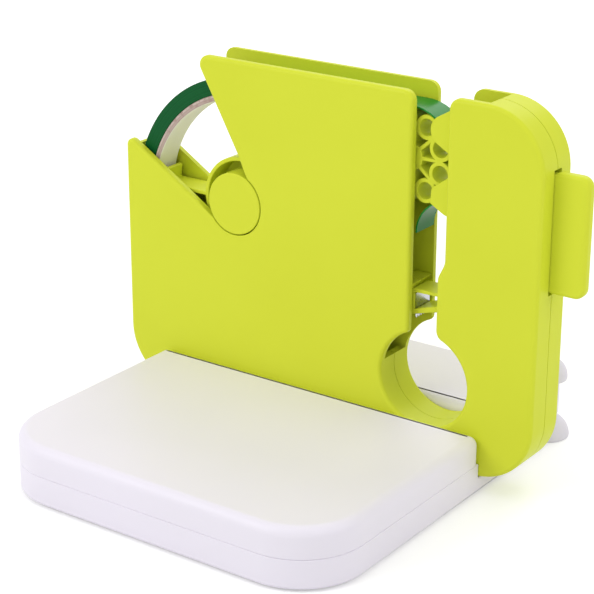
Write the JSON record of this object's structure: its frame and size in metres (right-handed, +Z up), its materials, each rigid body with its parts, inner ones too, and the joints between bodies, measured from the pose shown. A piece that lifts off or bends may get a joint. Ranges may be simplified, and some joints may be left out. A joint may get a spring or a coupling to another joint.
{
  "type": "bag neck sealer",
  "caption": "Countertop bag neck sealer: a flat housing with a tape roll, a slot with tape wheels, a cutter gate and a push-in trimmer, standing on a base with a platform.",
  "frame": {"origin": "middle of the footprint's bounding box, on the surface it stands on", "axes": "+X across the slot towards the trimmer's tab, +Y from the platform in front to the rear, +Z up"},
  "size_m": [0.1716, 0.1488, 0.1266],
  "materials": {
    "lime_plastic": "satin injection-moulded ABS",
    "white_plastic": "satin injection-moulded ABS",
    "suction_rubber": "soft pale grey",
    "foot_rubber": "soft grey",
    "green_tape": "wound film tape",
    "tape_core": "pale moulded core",
    "screw_steel": "zinc plated",
    "axle_steel": "turned bright",
    "blade_steel": "ground strip",
    "spring_steel": "drawn wire"
  },
  "bodies": {
    "sealer": {"base_tray": "white_plastic", "platform_cover": "white_plastic", "rear_cover": "white_plastic", "base_screws": "screw_steel", "foot_pads": "foot_rubber", "suction_feet": "suction_rubber", "front_housing": "lime_plastic", "rear_housing": "lime_plastic", "housing_screws": "screw_steel", "bed_screws": "screw_steel", "tape_hub": "lime_plastic", "hub_screw": "screw_steel", "tape_lead": "green_tape", "finned_wheel_axle": "axle_steel", "star_axle": "axle_steel", "gate_pin": "axle_steel", "gate_spring": "spring_steel", "trimmer_springs": "spring_steel"},
    "roll": {"tape_core": "tape_core", "tape_winding": "green_tape"},
    "tape_wheel": {"finned_wheel": "lime_plastic"},
    "star": {"star_front": "lime_plastic", "star_rear": "lime_plastic"},
    "gate": {"cutter_gate": "lime_plastic", "cutter_blade": "blade_steel"},
    "trimmer": {"trimmer_slider": "lime_plastic", "trimmer_blade": "blade_steel", "blade_rivets": "axle_steel"}
  },
  "joints": [
    {"name": "roll_spin", "type": "hinge", "parent": "sealer", "child": "roll", "pos_m": [-0.0381, 0.0222, 0.0746], "axis": [0, 1, 0], "continuous": true},
    {"name": "tape_wheel_spin", "type": "hinge", "parent": "sealer", "child": "tape_wheel", "pos_m": [0.0257, 0.0222, 0.105], "axis": [0, 1, 0], "continuous": true},
    {"name": "star_spin", "type": "hinge", "parent": "sealer", "child": "star", "pos_m": [0.046, 0.0222, 0.105], "axis": [0, 1, 0], "continuous": true},
    {"name": "gate_swing", "type": "hinge", "parent": "sealer", "child": "gate", "pos_m": [0.0443, 0.0222, 0.0605], "axis": [0, -1, 0], "range_deg": [0, 70], "stiffness_Nm_per_rad": 0.004, "springref_deg": -20.05, "deforming": ["gate_spring"]},
    {"name": "trimmer_push", "type": "slide", "parent": "sealer", "child": "trimmer", "axis": [-1, 0, 0], "range_m": [0, 0.01], "stiffness_N_per_m": 150, "springref_m": -0.004, "deforming": ["trimmer_springs"]}
  ]
}
